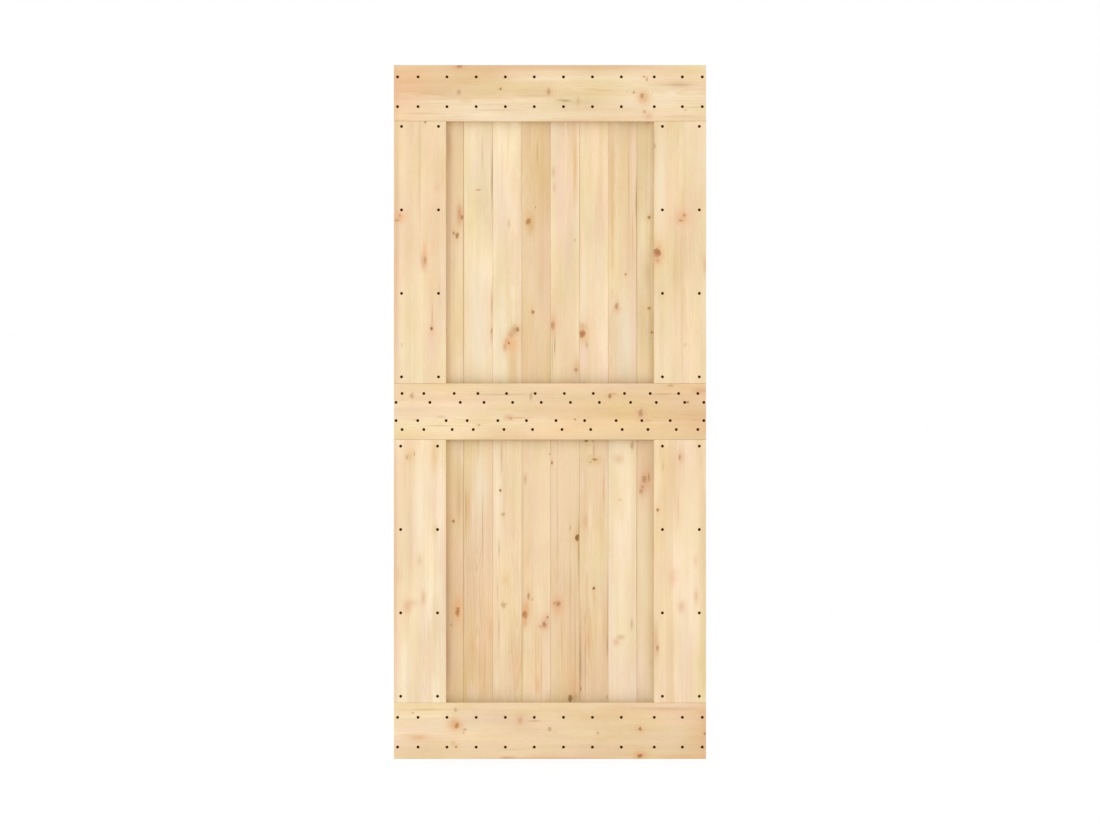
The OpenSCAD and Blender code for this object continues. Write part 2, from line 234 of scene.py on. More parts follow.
# Soft streaks and patches of another tone, placed in the same way, and what all their
# strengths are multiplied by
MARK_GAIN = 1.35
Mark = namedtuple("Mark", "x_px y_px half_w_px half_h_px tone strength")
MARKS = [
    # Top rail
    Mark(412, 82, 22, 1.8, "sand", 0.3),
    Mark(408, 81.4, 9, 0.7, "nut", 0.2),
    Mark(426, 93.2, 8, 0.8, "nut", 0.3),
    Mark(422, 113.4, 18, 0.8, "nut", 0.3),
    Mark(426, 66.4, 27, 1.6, "olive", 0.5),
    Mark(459, 67.5, 6, 2.4, "blush", 0.5),
    Mark(465.5, 100.3, 6, 3, "amber", 0.5),
    Mark(494.5, 110, 18, 0.8, "nut", 0.25),
    Mark(536, 95.7, 14, 0.8, "nut", 0.25),
    Mark(560, 66.5, 100, 2.6, "blush", 0.35),
    Mark(561.5, 99.6, 6.0, 0.9, "brown", 0.3),
    Mark(565.5, 100.8, 5.0, 0.9, "brown", 0.45),
    Mark(577.8, 101, 2.0, 3.8, "buff", 0.45),
    Mark(643.5, 98, 5.5, 6, "orange", 0.6),
    Mark(648.5, 116, 4, 3.4, "blush", 0.5),
    Mark(681.6, 85.0, 9, 3.2, "buff", 0.3),
    Mark(676, 84.5, 16, 1.0, "brown", 0.25),
    Mark(694, 107, 8, 0.7, "nut", 0.3),
    Mark(680, 116, 14, 0.9, "amber", 0.5),
    Mark(395, 92, 3.5, 40, "blush", 0.4),
    Mark(403, 92, 22, 30, "salmon", 0.34),
    # Middle rail
    Mark(503, 394.3, 26, 0.8, "brown", 0.28),
    Mark(508.5, 416.8, 4.5, 2.2, "blush", 0.6),
    Mark(519, 417.4, 8, 0.8, "russet", 0.4),
    Mark(415.5, 419.8, 2.4, 1.0, "buff", 0.35),
    Mark(441, 416.4, 4.5, 1.2, "buff", 0.35),
    Mark(440, 425.4, 13, 0.7, "brown", 0.3),
    Mark(613, 393.7, 3.4, 0.8, "nut", 0.5),
    Mark(663, 394, 12, 0.7, "brown", 0.35),
    Mark(658, 397.7, 20, 0.7, "amber", 0.6),
    Mark(689, 414.7, 9, 0.7, "nut", 0.35),
    Mark(697, 419.8, 6, 0.7, "nut", 0.35),
    Mark(700, 390.5, 7, 3.0, "russet", 0.4),
    Mark(641, 413, 6, 7, "blush", 0.35),
    Mark(648.5, 420.3, 3, 1, "brown", 0.25),
    Mark(690, 410, 26, 34, "sand", 0.26),
    # Bottom rail
    Mark(454.5, 724, 6, 6.5, "orange", 0.6),
    Mark(418.0, 737.4, 9, 2.8, "orange", 0.55),
    Mark(412, 735.5, 9, 1.4, "olive", 0.6),
    Mark(425, 709.5, 14, 0.8, "brown", 0.25),
    Mark(453, 743.2, 2.2, 2.8, "blush", 0.4),
    Mark(533.9, 720.8, 6, 1.0, "russet", 0.4),
    Mark(507, 757.6, 6, 1.3, "clay", 0.6),
    Mark(512, 749.5, 11, 0.7, "nut", 0.25),
    Mark(560, 758, 60, 1.6, "blush", 0.5),
    Mark(603, 740, 9, 3, "olive", 0.5),
    Mark(664, 708.5, 32, 1.4, "buff", 0.35),
    Mark(683, 757, 26, 2.6, "orange", 0.4),
    Mark(639.5, 755.5, 5, 4.5, "orange", 0.5),
    Mark(704, 732, 4, 30, "blush", 0.35),
    Mark(700, 732, 16, 34, "orange", 0.32),
    # Upper left stile
    Mark(400.5, 216.5, 6.4, 5.4, "salmon", 0.7),
    Mark(437, 187, 3, 4, "blush", 0.2),
    Mark(423.4, 261, 3.0, 7, "russet", 0.5),
    Mark(424.2, 250, 2.0, 9, "salmon", 0.6),
    Mark(401.9, 344.5, 1.2, 2, "buff", 0.4),
    Mark(395.4, 290, 2.6, 120, "blush", 0.4),
    Mark(396.4, 200, 2.0, 100, "nut", 0.15),
    Mark(431, 334, 5, 12, "orange", 0.18),
    Mark(431.9, 316, 0.5, 12, "brown", 0.4),
    Mark(419.5, 165, 0.8, 60, "buff", 0.3),
    # Upper right stile
    Mark(681.5, 217, 6, 7, "salmon", 0.7),
    Mark(660, 175, 5, 56, "milk", 0.5),
    Mark(685.2, 344.6, 1.2, 2, "buff", 0.35),
    Mark(657, 254, 4, 6.5, "orange", 0.45),
    Mark(704.5, 265, 1.6, 9, "blush", 0.5),
    Mark(681.5, 310, 1.4, 60, "amber", 0.45),
    # Lower left stile
    Mark(409.3, 456.5, 3.2, 5.6, "gold", 0.45),
    Mark(434.3, 455, 3.6, 17, "gold", 0.4),
    Mark(420, 506, 5, 58, "milk", 0.7),
    Mark(403, 520, 6, 66, "honey", 0.35),
    Mark(413.5, 655, 5.5, 38, "cream", 0.5),
    Mark(398, 650, 3, 40, "petal", 0.35),
    Mark(434.8, 529, 3.2, 6, "olive", 0.6),
    Mark(419.5, 560, 2.2, 5, "buff", 0.3),
    Mark(398.5, 575, 3.6, 7, "orange", 0.25),
    Mark(407.6, 606, 4.4, 6.5, "blush", 0.5),
    Mark(413, 602.5, 5, 3.4, "blush", 0.3),
    Mark(423.4, 597.5, 2.2, 6, "blush", 0.5),
    Mark(446, 641, 1.6, 11, "blush", 0.5),
    Mark(394.8, 580, 2.4, 130, "blush", 0.4),
    # Lower right stile
    Mark(681.2, 457, 3.4, 5.8, "orange", 0.4),
    Mark(672, 577, 4, 9, "salmon", 0.4),
    Mark(681.4, 606.6, 4, 6, "blush", 0.5),
    Mark(696, 596, 2.2, 7, "blush", 0.5),
    Mark(655.4, 641, 2.4, 16, "blush", 0.55),
    Mark(663, 466, 1.2, 5, "buff", 0.4),
    Mark(695.4, 560.5, 1.6, 5, "blush", 0.4),
    Mark(678, 507, 0.8, 14, "blush", 0.4),
    Mark(668, 560, 8, 110, "apricot", 0.2),
    Mark(690, 520, 8, 66, "pale", 0.35),
    Mark(687, 655, 7, 40, "petal", 0.35),
    Mark(703.4, 570, 1.6, 110, "olive", 0.3),
    # Upper boards
    Mark(463.2, 250, 0.5, 170, "nut", 0.55),
    Mark(579.6, 215, 0.35, 90, "nut", 0.4),
    Mark(636.5, 260, 0.4, 120, "nut", 0.5),
    Mark(456.5, 165, 5, 42, "olive", 0.45),
    Mark(449, 146, 2.4, 16, "clay", 0.35),
    Mark(459.6, 214, 2.8, 10, "russet", 0.65),
    Mark(482, 152, 0.6, 13, "nut", 0.4),
    Mark(473.5, 166, 2.4, 16, "petal", 0.4),
    Mark(478.5, 202, 5, 10, "amber", 0.22),
    Mark(478, 325, 6, 52, "mist", 0.5),
    Mark(501.6, 190, 1.2, 62, "petal", 0.4),
    Mark(519.5, 285, 1.4, 32, "petal", 0.4),
    Mark(537, 153, 0.6, 11, "nut", 0.5),
    Mark(526.4, 285, 1.6, 40, "olive", 0.45),
    Mark(491.4, 304, 1.0, 14, "russet", 0.5),
    Mark(491.8, 176, 0.8, 26, "brown", 0.6),
    Mark(491.6, 336, 1.6, 8, "blush", 0.5),
    Mark(514.6, 329.6, 3.4, 4.6, "nut", 0.6),
    Mark(510.6, 335, 2.8, 4, "nut", 0.6),
    Mark(511.5, 344, 7, 7.5, "salmon", 0.75),
    Mark(504.6, 347, 1.6, 4.4, "russet", 0.4),
    Mark(512.5, 364, 4, 18, "gold", 0.4),
    Mark(508.6, 223.6, 1.6, 4, "buff", 0.35),
    Mark(530.6, 224, 3, 8, "russet", 0.35),
    Mark(553.6, 325, 3.4, 10, "salmon", 0.6),
    Mark(553.5, 172, 1.8, 5, "buff", 0.45),
    Mark(554.6, 187, 1.6, 4.6, "blush", 0.6),
    Mark(560, 190, 5, 60, "petal", 0.4),
    Mark(565, 345, 8, 26, "amber", 0.16),
    Mark(554.6, 345, 0.5, 9, "brown", 0.6),
    Mark(552, 355, 0.5, 20, "brown", 0.4),
    Mark(575, 165, 2.0, 38, "gold", 0.5),
    Mark(577, 366, 3, 9, "gold", 0.4),
    Mark(586.3, 344.6, 1.1, 3.2, "brown", 0.65),
    Mark(583.4, 354, 2.8, 16, "petal", 0.7),
    Mark(582.6, 326, 3, 2.4, "nut", 0.5),
    Mark(584, 290, 2.8, 40, "mist", 0.5),
    Mark(592.8, 300, 1.8, 42, "honey", 0.5),
    Mark(590, 362, 1.8, 22, "olive", 0.4),
    Mark(611.4, 190, 3.4, 76, "sand", 0.4),
    Mark(612.4, 205, 1.6, 66, "gold", 0.35),
    Mark(623, 138, 4, 12, "olive", 0.5),
    Mark(633, 155, 2.4, 32, "petal", 0.45),
    Mark(628.6, 186, 0.5, 38, "nut", 0.35),
    Mark(632.4, 234, 0.5, 22, "nut", 0.35),
    Mark(636.1, 202, 0.7, 18, "brown", 0.5),
    Mark(619.4, 309, 2.2, 1.6, "blush", 0.4),
    Mark(634.4, 335, 1.4, 30, "petal", 0.5),
    Mark(642, 330, 2.4, 50, "gold", 0.2),
    Mark(647, 272, 3, 14, "buff", 0.3),
    Mark(616.3, 308, 2.8, 4, "blush", 0.5),
    Mark(626, 338, 6.4, 36, "mist", 0.6),
    # Lower boards
    Mark(463.2, 570, 0.5, 170, "nut", 0.45),
    Mark(636.5, 560, 0.4, 150, "nut", 0.55),
    Mark(455, 530, 4, 7, "olive", 0.6),
    Mark(457.4, 606, 3.6, 10, "orange", 0.4),
    Mark(448, 655, 2.4, 22, "blush", 0.5),
    Mark(458.6, 500, 1.4, 20, "buff", 0.45),
    Mark(462, 455, 0.9, 15, "pale", 0.5),
    Mark(465.6, 682, 1.2, 18, "gold", 0.5),
    Mark(468.2, 507, 1.8, 19, "orange", 0.5),
    Mark(465.9, 507, 0.6, 19, "brown", 0.45),
    Mark(472.5, 514, 1.5, 24, "petal", 0.6),
    Mark(480, 486, 5, 34, "mist", 0.45),
    Mark(482.5, 530, 0.5, 38, "nut", 0.45),
    Mark(479, 664, 0.5, 24, "nut", 0.4),
    Mark(484.6, 666, 0.5, 24, "nut", 0.4),
    Mark(478, 610, 0.7, 66, "petal", 0.35),
    Mark(472, 693, 4.5, 8, "petal", 0.4),
    Mark(472.2, 646, 2.0, 11, "orange", 0.5),
    Mark(490, 631, 1.8, 11, "orange", 0.42),
    Mark(497.5, 500, 3, 46, "milk", 0.7),
    Mark(501.4, 456, 0.7, 14, "nut", 0.5),
    Mark(498.8, 549, 0.8, 8, "brown", 0.3),
    Mark(497.5, 590, 0.8, 9, "brown", 0.2),
    Mark(509, 500, 8, 50, "olive", 0.3),
    Mark(505, 580, 3, 5, "gold", 0.3),
    Mark(498.8, 630, 0.6, 14, "nut", 0.4),
    Mark(516, 665, 2.6, 8, "salmon", 0.4),
    Mark(497, 680, 2.4, 10, "pale", 0.5),
    Mark(525.6, 610, 3.4, 8, "orange", 0.7),
    Mark(524.6, 622, 2.2, 4.6, "blush", 0.6),
    Mark(541, 626.2, 3, 1.8, "russet", 0.45),
    Mark(525.2, 479, 1.6, 5, "nut", 0.5),
    Mark(522.8, 520, 0.6, 76, "nut", 0.35),
    Mark(537, 505, 13, 60, "rose", 0.35),
    Mark(522.4, 652, 0.6, 44, "nut", 0.45),
    Mark(537.2, 685, 2.6, 10, "orange", 0.45),
    Mark(535.8, 665, 0.6, 32, "orange", 0.6),
    Mark(541, 668, 0.6, 30, "orange", 0.6),
    Mark(538.4, 652, 0.5, 17, "nut", 0.35),
    Mark(546, 623, 4, 6, "blush", 0.45),
    Mark(573.5, 686, 4.4, 15, "orange", 0.4),
    Mark(574.6, 697.5, 3, 4, "nut", 0.5),
    Mark(565, 678, 12, 34, "sand", 0.14),
    Mark(452, 668, 7, 26, "nut", 0.13),
    Mark(566, 490, 14, 52, "rose", 0.5),
    Mark(557, 520, 0.5, 70, "nut", 0.3),
    Mark(561.6, 645, 0.5, 20, "nut", 0.5),
    Mark(570, 600, 0.5, 60, "nut", 0.3),
    Mark(575, 650, 0.5, 46, "nut", 0.45),
    Mark(578.8, 545, 0.8, 24, "brown", 0.6),
    Mark(577, 537, 3, 8, "orange", 0.25),
    Mark(580.2, 665, 0.8, 34, "brown", 0.6),
    Mark(593.6, 450, 0.7, 10, "brown", 0.35),
    Mark(595.6, 460.5, 7, 4.4, "gold", 0.35),
    Mark(585.2, 521, 2.6, 7, "blush", 0.5),
    Mark(603.6, 488, 0.8, 18, "copper", 0.5),
    Mark(602, 530, 3.4, 28, "gold", 0.22),
    Mark(590, 515, 1.8, 15, "pale", 0.55),
    Mark(582.6, 480, 1.4, 10, "petal", 0.6),
    Mark(593.8, 596, 1.2, 7, "orange", 0.4),
    Mark(588.4, 637, 2, 16, "orange", 0.5),
    Mark(585, 664, 0.5, 32, "brown", 0.45),
    Mark(604.6, 625, 2.6, 24, "orange", 0.25),
    Mark(607.4, 612, 0.5, 34, "brown", 0.35),
    Mark(607.2, 645, 0.9, 9, "brown", 0.4),
    Mark(618.5, 459, 4.6, 4.6, "blush", 0.45),
    Mark(620, 499.5, 1.8, 1.3, "buff", 0.35),
    Mark(631.6, 624, 1.4, 5, "nut", 0.5),
    Mark(616, 642, 3, 3.6, "blush", 0.55),
    Mark(612, 560, 1.4, 96, "petal", 0.35),
    Mark(622, 665, 8, 24, "petal", 0.3),
    Mark(633.4, 560, 2, 90, "olive", 0.28),
    Mark(620.5, 637, 3.4, 2.4, "buff", 0.45),
    Mark(557.6, 604, 3.6, 3.8, "clay", 0.5),
    Mark(557.5, 606, 5, 8, "salmon", 0.6),
    Mark(645, 468, 8, 30, "russet", 0.16),
    Mark(645, 480, 3.6, 8, "russet", 0.5),
    Mark(641.6, 489, 2.4, 6, "russet", 0.5),
    Mark(650, 625, 2.6, 14, "olive", 0.5),
    Mark(645.5, 560, 8, 66, "straw", 0.5),
]

# Tone at the low or left end of a piece and at its high or right end
TONES_OF = {
    "top_rail": ("amber", "wheat"),
    "middle_rail": ("cream", "apricot"),
    "bottom_rail": ("cream", "honey"),
    "upper_left_stile": ("cream", "honey"),
    "upper_right_stile": ("cream", "honey"),
    "lower_left_stile": ("milk", "wheat"),
    "lower_right_stile": ("blossom", "peach"),
    "upper_board_03": ("tan", "tan"),
    "upper_board_04": ("cream", "pale"),
    "upper_board_05": ("pale", "pale"),
    "upper_board_06": ("tan", "amber"),
    "upper_board_07": ("honey", "wheat"),
    "upper_board_08": ("wheat", "peach"),
    "upper_board_09": ("cream", "tan"),
    "upper_board_10": ("olive", "olive"),
    "lower_board_03": ("amber", "tan"),
    "lower_board_04": ("tan", "honey"),
    "lower_board_05": ("honey", "wheat"),
    "lower_board_06": ("wheat", "honey"),
    "lower_board_07": ("tan", "honey"),
    "lower_board_08": ("tan", "honey"),
    "lower_board_09": ("ivory", "linen"),
    "lower_board_10": ("straw", "honey"),
}

# Boards and parts of boards that only the back shows: their tones, and their knots by
# spacing and radius in metres, by reach as a share of the width, and by stretch
HIDDEN_TONES = ["pale", "cream", "cream", "honey", "honey", "tan", "olive"]
HIDDEN_KNOT_KINDS = ["brown", "red", "dark", "pink", "grey"]
HIDDEN_KNOT_SPACING = 0.33
HIDDEN_KNOT_RADIUS = (0.003, 0.008)
HIDDEN_KNOT_REACH = 0.42
HIDDEN_KNOT_STRETCH = (1.1, 1.7)

# How strongly the rings show on the pieces where the photograph has a clear figure
FIGURES = {
    "top_rail": 0.3,
    "lower_left_stile": 0.35,
    "lower_right_stile": 0.12,
    "upper_right_stile": 0.22,
    "middle_rail": 0.25,
    "upper_board_06": 0.3,
    "upper_board_09": 0.4,
    "lower_board_04": 0.65,
    "lower_board_05": 0.45,
    "lower_board_07": 0.3,
    "lower_board_08": 0.48,
}

# Growth of the trees. Lengths are in metres, and places on a ring are shares of it. The
# pith turns so many times a metre, and the unevenness moves on so far with each ring.
RING_SPACING = (0.0026, 0.0046)
RING_CONTRAST = (0.04, 0.16)
RING_WAVES = 0.008
RING_DARKENS = (0.25, 0.86)
RING_ENDS = (0.9, 1.0)
FAINTEST_RING = 0.35
UNEVEN_RINGS = 1.6
UNEVEN_FOR_EACH_RING = 0.31
PITH_BEHIND = (0.018, 0.07)
PITH_ASIDE = 0.03
PITH_DRIFT = 0.014
PITH_WANDER = 0.05
PITH_TURNS = 1.6
LOG_SEEDS = (1, 40)
SEED_STEP_ALONG = 1.7

# Tones that come and go over a board, by the part of their noise where each begins and
# is whole
BAND_TONES = ["tan", "rose", "honey", "pale", "olive"]
BAND_STRENGTH = (0.2, 0.5)
BAND_AT = (0.48, 0.56)
Wash = namedtuple("Wash", "at strength")
WASHES = {"rose": Wash((0.5, 0.7), 0.35), "olive": Wash((0.5, 0.3), 0.3)}
FADE_WANDER = 0.3

# Noises in the wood and on the screws: how often each changes in a metre across, along
# and through the piece, and its detail. A knot's own change in its own radii.
Noise = namedtuple("Noise", "scale detail")
NOISES = {
    "knot_warp": Noise((0.75, 0.75, 1.0), 3.0),
    "knot_mottle": Noise((2.4, 1.8, 3.0), 2.0),
    "mark_edge": Noise((160, 14, 90), 2.0),
    "ring_waves": Noise((34, 5, 34), 2.0),
    "band": Noise((34, 1.1, 24), 3.0),
    "wash": Noise((20, 2.4, 16), 1.0),
    "fibre": Noise((1300, 40, 1300), 2.0),
    "streak": Noise((330, 9, 330), 1.0),
    "flow": Noise((52, 1.4, 46), 2.0),
    "cloud": Noise((10, 3.4, 10), 2.0),
    "fleck": Noise((200, 45, 200), 2.0),
    "canal": Noise((900, 60, 900), 0.0),
    "tint": Noise((15, 3.2, 15), 4.0),
    "wear": Noise((120, 9, 120), 3.0),
    # Patches in the painted shade along the frame
    "painted_shade": Noise((25, 25, 25), 2.0),
    "coating": Noise((160, 160, 160), 2.0),
    "rubbing": Noise((900, 900, 900), 3.0),
}

# How far each noise swings the wood's brightness, and what the swing does to its red,
# green and blue
GRAIN = {"fibre": 0.1, "streak": 0.04, "flow": 0.2, "cloud": 0.38, "fleck": 0.09}
TINT_GRAIN = 0.24
GRAIN_RGB = (0.7, 1.0, 1.5)
PINK_SWING = 0.18
PINK_RGB = (0.35, -1.0, -0.4)
GOLD_SWING = 0.5
CANAL_AT = (0.76, 0.82)
CANAL_DARKENS = 0.12

# Relief of the wood: what raises or sinks it, and the depth of the whole in metres
FIBRE_RISE = 0.5
LATE_RISE = 0.5
CANAL_SINK = 0.4
WOOD_BUMP = {"Strength": 0.35, "Distance": 0.0004}

# Knots. Places are in a knot's radii from its heart, and a fade is how fast a Gaussian
# falls. A pair by mottle or by softness has the value where that is 0 and where it is 1.
KNOT_SEEDS = (0, 9)
KNOT_CHANGES_INWARD = 25.0
KNOT_WARP = 1.8
MOTTLE_AT = (0.36, 0.64)
PUSH_ALONG = 0.3
PUSH_FADE = 0.22
HALO_ALONG = 0.4
HALO_FADE = 0.3
HALO_BY_MOTTLE = (0.7, 1.2)
KNOT_RINGS = 21.0
KNOT_RING_SWING = 0.13
RIM_BY_MOTTLE = (0.08, 0.44)
BARK_AT = 0.94
BARK_NARROWNESS = 6.5
BARK_BY_MOTTLE = (0.2, 0.7)
KNOT_PITH_FADE = 4.0
KNOT_PITH_SHARE = 0.55
EDGE_BEGINS_BY_SOFTNESS = (0.94, 0.49)
EDGE_ENDS_BY_SOFTNESS = (1.1, 1.46)

# Edges of the streaks and patches
MARK_WOBBLE = 1.1
MARK_FADE = 0.9

# Surface of the wood. The first three say how far a face turns where an arris, a sawn
# end and the front begin and are whole. Those by wear hold two values of the wear, and
# then the painted shade on the arrises or the roughness at each.
ARRIS_AT = (0.15, 0.4)
SAWN_AT = (0.6, 0.8)
FRONT_AT = (-0.5, 0.0)
SEAM_SHADE_BY_WEAR = (0.3, 0.7, 0.5, 1.0)
ROUGHNESS_BY_WEAR = (0.2, 0.8, 0.5, 0.62)
# Strength of the painted shade on the frame's arrises along the seams
SEAM_SHADE = 0.1
END_GRAIN_BY_LATE = (0.35, 0.85)
LATE_SMOOTHER = 0.06
SAWN_ROUGHER = 0.2
WOOD_SPECULAR = 0.3

# Painted shade on the boards along the frame's inner edges, where the frame shades the
# recesses: its strength at the edge, and how fast it fades for each metre from there
PaintedShade = namedtuple("PaintedShade", "strength fade")
PAINTED_SHADE_AT = {
    "Low X": PaintedShade(0.19, 70.0),
    "High X": PaintedShade(0.3, 80.0),
    "Low Z": PaintedShade(0.42, 48.0),
    "High Z": PaintedShade(0.36, 58.0),
}
# Least and most of the painted shade along the frame, by its patch noise
PAINTED_SHADE_BY_PATCH = (0.6, 1.4)

# Screws: scene-linear colours of the bronze coating, the part of the noise where each
# shows, and the roughness at two values of the noise
BRONZE_DARK = (0.046, 0.014, 0.0005, 1)
BRONZE = (0.08, 0.026, 0.0008, 1)
BRONZE_RUBBED = (0.15, 0.07, 0.01, 1)
COATING_AT = (0.35, 0.65)
RUBBED_AT = (0.62, 0.75)
RUBBED_STRENGTH = 0.4
SCREW_ROUGHNESS = (0.3, 0.7, 0.38, 0.55)
SCREW_METALLIC = 0.85
SCREW_BUMP = {"Strength": 0.3, "Distance": 0.0001}

# Light and stage
WHITE = (1, 1, 1, 1)
FLOOR_GAP = 0.012
FLOOR_SIZE = 16.0
FLOOR_GLOW = 0.88
FLOOR_SEEN = (0.15, 0.15, 0.15, 1)
FLOOR_LIT = (0.9, 0.9, 0.9, 1)
FLOOR_ROUGHNESS = 0.9
AMBIENT = 0.92
KEY_SIZE = 2.6
KEY_PLACE = (-3.6, -4.4, -0.5)
KEY_POWER = 45.0
FARTHEST_SEEN = 200


def linear(tone):
    """Scene-linear RGBA of a named tone."""
    channels = [c / 255 for c in TONES[tone]]
    return [c / 12.92 if c <= 0.04045 else ((c + 0.055) / 1.055) ** 2.4 for c in channels] + [1.0]


class Shade:
    """Short calls that build one node tree."""

    def __init__(self, tree):
        self.tree = tree

    def node(self, kind, **settings):
        made = self.tree.nodes.new(kind)
        for name, value in settings.items():
            setattr(made, name, value)
        return made

    def feed(self, socket, value):
        """Link an output to the socket, or set the socket's own value."""
        if isinstance(value, bpy.types.NodeSocket):
            self.tree.links.new(value, socket)
        else:
            socket.default_value = value

    def feed_all(self, made, values):
        for name, value in values.items():
            self.feed(made.inputs[name], value)
        return made

    def math(self, operation, *values):
        made = self.node("ShaderNodeMath", operation=operation)
        for socket, value in zip(made.inputs, values):
            self.feed(socket, value)
        return made.outputs[0]

    def add(self, a, b):
        return self.math("ADD", a, b)

    def less(self, a, b):
        return self.math("SUBTRACT", a, b)

    def times(self, a, b):
        return self.math("MULTIPLY", a, b)

    def over(self, a, b):
        return self.math("DIVIDE", a, b)

    def square(self, value):
        return self.times(value, value)

    def fade(self, value, rate):
        """1 where the value is 0, falling towards 0 as it grows."""
        return self.math("EXPONENT", self.times(value, -rate))

    def swing(self, value, size):
        """A value from 0 to 1 as a swing of that size about 0."""
        return self.times(self.less(value, 0.5), size)

    def line(self, value, at_0, at_1):
        """Straight line that is at_0 where the value is 0, and at_1 where it is 1."""
        return self.add(at_0, self.times(value, at_1 - at_0))

    def step(self, value, low, high, out_low=0.0, out_high=1.0):
        """Smooth step from out_low at low to out_high at high."""
        made = self.node("ShaderNodeMapRange", interpolation_type="SMOOTHSTEP")
        return self.feed_all(made, {
            "Value": value,
            "From Min": low,
            "From Max": high,
            "To Min": out_low,
            "To Max": out_high,
        }).outputs[0]

    def vector_math(self, operation, a, b):
        made = self.node("ShaderNodeVectorMath", operation=operation)
        self.feed(made.inputs[0], a)
        self.feed(made.inputs[1], b)
        return made.outputs[0]

    def split(self, vector):
        made = self.node("ShaderNodeSeparateXYZ")
        self.feed(made.inputs[0], vector)
        return made.outputs

    def join(self, x, y, z):
        made = self.node("ShaderNodeCombineXYZ")
        for socket, value in zip(made.inputs, (x, y, z)):
            self.feed(socket, value)
        return made.outputs[0]

    def noise(self, vector, detail):
        """Noise of unit scale, as a value from 0 to 1 and as a colour."""
        made = self.node("ShaderNodeTexNoise", noise_dimensions="3D")
        return self.feed_all(made, {"Vector": vector, "Scale": 1.0, "Detail": detail}).outputs

    def noise_of(self, name, place):
        """One of the NOISES at a place, as a value from 0 to 1 and as a colour."""
        kind = NOISES[name]
        return self.noise(self.vector_math("MULTIPLY", place, kind.scale), kind.detail)

    def mix(self, share, a, b):
        """Colour a with that share of colour b, by the node's sockets for colours."""
        made = self.node("ShaderNodeMix", data_type="RGBA")
        self.feed(made.inputs[0], share)
        self.feed(made.inputs[6], a)
        self.feed(made.inputs[7], b)
        return made.outputs[2]

    def bump(self, height, values):
        made = self.node("ShaderNodeBump")
        return self.feed_all(made, {"Height": height, **values}).outputs[0]

    def group(self, tree, **values):
        """One use of a node group. Names have underscores where the sockets have spaces."""
        made = self.node("ShaderNodeGroup", node_tree=tree)
        self.feed_all(made, {name.replace("_", " "): value for name, value in values.items()})
        return made.outputs


SOCKETS = {"value": "NodeSocketFloat", "vector": "NodeSocketVector", "colour": "NodeSocketColor"}
LOG_SOCKETS = "Push, Ring, Pith Across, Pith Depth, Drift Across, Drift Depth, Seed"


def new_group(name, inputs, outputs):
    """An empty node group, as (its tree, its Shade, the sockets that come in, those that go out).

    The inputs and the outputs are given as the sockets' names for each of the SOCKETS' kinds.
    """
    tree = bpy.data.node_groups.new(name, "ShaderNodeTree")
    for direction, sockets in (("INPUT", inputs), ("OUTPUT", outputs)):
        for kind, names in sockets.items():
            for socket in names.split(", "):
                tree.interface.new_socket(socket, in_out=direction, socket_type=SOCKETS[kind])
    shade = Shade(tree)
    came_in = shade.node("NodeGroupInput").outputs
    going_out = shade.node("NodeGroupOutput").inputs
    return tree, shade, came_in, going_out


def new_material(name):
    """A new material, as (the material, its Shade, its principled shader)."""
    material = bpy.data.materials.new(name)
    material.use_nodes = True
    return material, Shade(material.node_tree), material.node_tree.nodes["Principled BSDF"]


def make_knot_field():
    """How far a place is from a knot's heart, in its radii, and what the knot does there."""
    tree, s, given, out = new_group(
        "knot_field",
        {"vector": "Place", "value": "Across, Along, Half Width, Half Length, Seed"},
        {"value": "Rho, Halo, Push, Mottle"},
    )
    across, along, depth = s.split(given["Place"])
    off_across = s.over(s.less(across, given["Across"]), given["Half Width"])
    off_along = s.over(s.less(along, given["Along"]), given["Half Length"])
    inward = s.add(given["Seed"], s.times(depth, KNOT_CHANGES_INWARD))
    off = s.join(off_across, off_along, inward)
    warp = s.split(s.noise_of("knot_warp", off)[1])
    across_2 = s.square(s.add(off_across, s.swing(warp[0], KNOT_WARP)))
    along_2 = s.square(s.add(off_along, s.swing(warp[1], KNOT_WARP)))
    unwarped = s.add(s.square(off_across), s.times(s.square(off_along), PUSH_ALONG))
    s.feed(out["Rho"], s.math("SQRT", s.add(across_2, along_2)))
    s.feed(out["Halo"], s.fade(s.add(across_2, s.times(along_2, HALO_ALONG)), HALO_FADE))
    s.feed(out["Push"], s.times(s.fade(unwarped, PUSH_FADE), given["Half Width"]))
    s.feed(out["Mottle"], s.step(s.noise_of("knot_mottle", off)[0], *MOTTLE_AT))
    return tree


def make_knot_paint():
    """Paints one knot, with its rings, bark and pith, and the stained wood round it over a colour."""
    tree, s, given, out = new_group(
        "knot_paint",
        {"colour": "Colour, Heart Tone, Rim Tone, Halo Tone",
         "value": "Rho, Halo, Mottle, Strength, Halo Strength, Softness"},
        {"colour": "Colour"},
    )
    rho = given["Rho"]
    mottle = given["Mottle"]
    halo = s.times(given["Halo"], s.line(mottle, *HALO_BY_MOTTLE))
    stained = s.mix(s.times(halo, given["Halo Strength"]), given["Colour"], given["Halo Tone"])
    rings = s.times(s.math("SINE", s.times(rho, KNOT_RINGS)), KNOT_RING_SWING)
    from_bark = s.times(s.less(rho, BARK_AT), BARK_NARROWNESS)
    bark = s.times(s.fade(s.square(from_bark), 1.0), s.line(mottle, *BARK_BY_MOTTLE))
    rim_share = s.add(s.add(s.line(mottle, *RIM_BY_MOTTLE), rings), bark)
    heart = s.mix(rim_share, given["Heart Tone"], given["Rim Tone"])
    pith = s.times(s.fade(s.square(rho), KNOT_PITH_FADE), KNOT_PITH_SHARE)
    whole = s.mix(pith, heart, given["Rim Tone"])
    begins = s.line(given["Softness"], *EDGE_BEGINS_BY_SOFTNESS)
    ends = s.line(given["Softness"], *EDGE_ENDS_BY_SOFTNESS)
    core = s.times(s.step(rho, begins, ends, 1.0, 0.0), given["Strength"])
    s.feed(out["Colour"], s.mix(core, stained, whole))
    return tree


